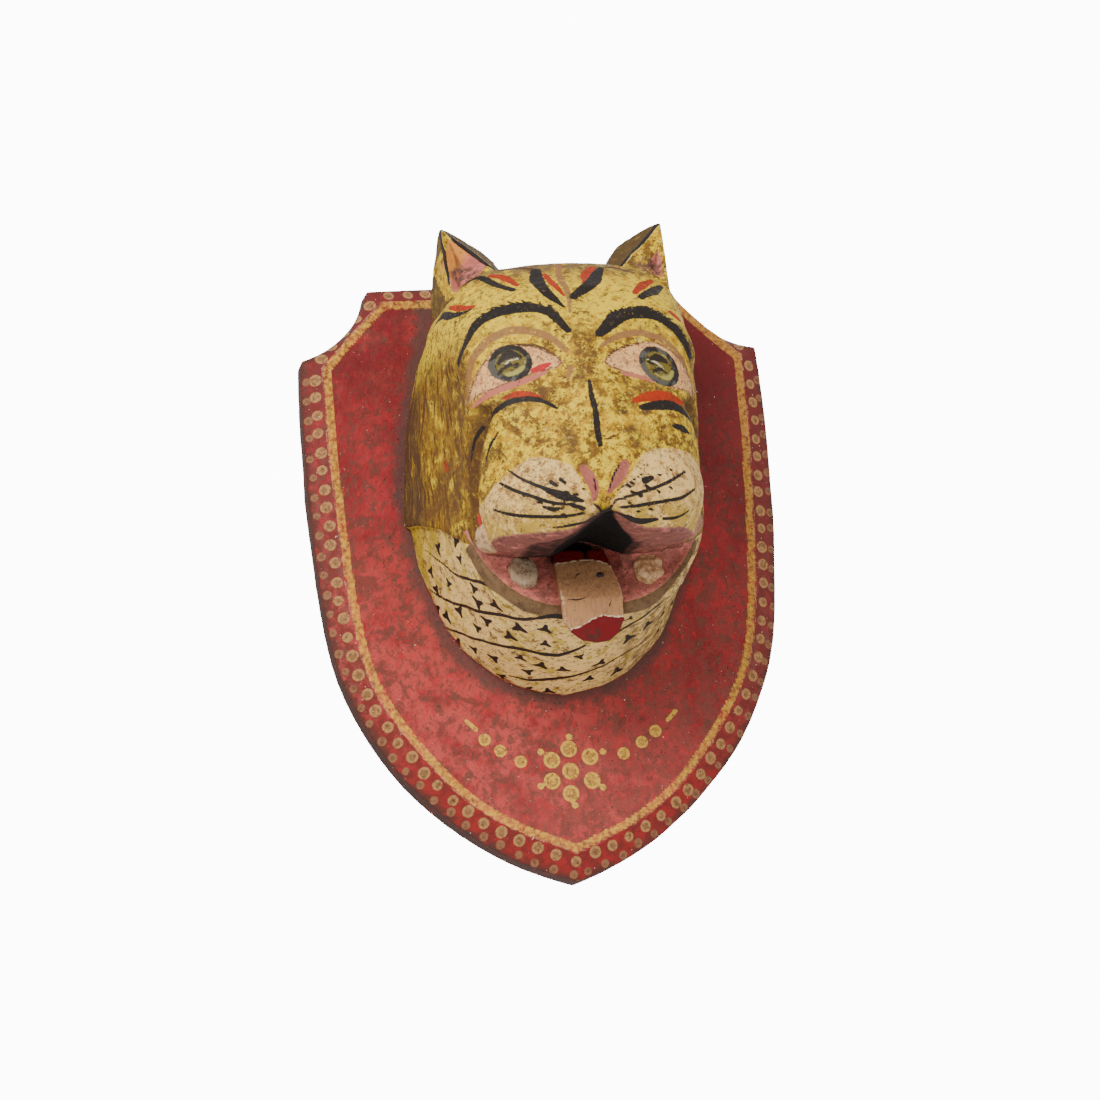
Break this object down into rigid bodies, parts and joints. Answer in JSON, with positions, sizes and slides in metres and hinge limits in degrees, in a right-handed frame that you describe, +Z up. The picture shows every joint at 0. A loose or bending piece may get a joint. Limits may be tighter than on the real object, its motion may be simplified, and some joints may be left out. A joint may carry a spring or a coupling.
{
  "type": "painted wooden animal head wall trophy",
  "caption": "Carved and painted wooden tiger head with an open mouth and hanging tongue, mounted on a bevelled shield-shaped wall plaque.",
  "frame": {"origin": "on the plaque's flat back face, on its middle line, about half way up", "axes": "+Z up, +X to the viewer's right, the face looks along -Y and the wall lies on +Y"},
  "size_m": [0.32, 0.216, 0.423],
  "materials": {
    "red_paint": "old satin paint on wood",
    "tiger_paint": "worn painted wood",
    "ear_paint": "worn painted wood",
    "tongue_wood": "bare wood with paint at its ends",
    "peg_wood": "bare wood",
    "dull_steel": "tarnished",
    "hanger_steel": "zinc plated, dulled"
  },
  "bodies": {
    "trophy": {"shield_plaque": "red_paint", "head": "tiger_paint", "left_ear": "ear_paint", "right_ear": "ear_paint", "tongue": "tongue_wood", "tongue_nail": "dull_steel", "left_canine": "peg_wood", "right_canine": "peg_wood", "head_screws": "dull_steel", "hanger_strap": "hanger_steel", "hanger_screws": "hanger_steel"},
    "ring": {"hanger_ring": "hanger_steel"}
  },
  "joints": [
    {"name": "ring_hinge", "type": "hinge", "parent": "trophy", "child": "ring", "pos_m": [0, -0.0074, 0.128], "axis": [1, 0, 0], "range_deg": [0, 180]}
  ]
}
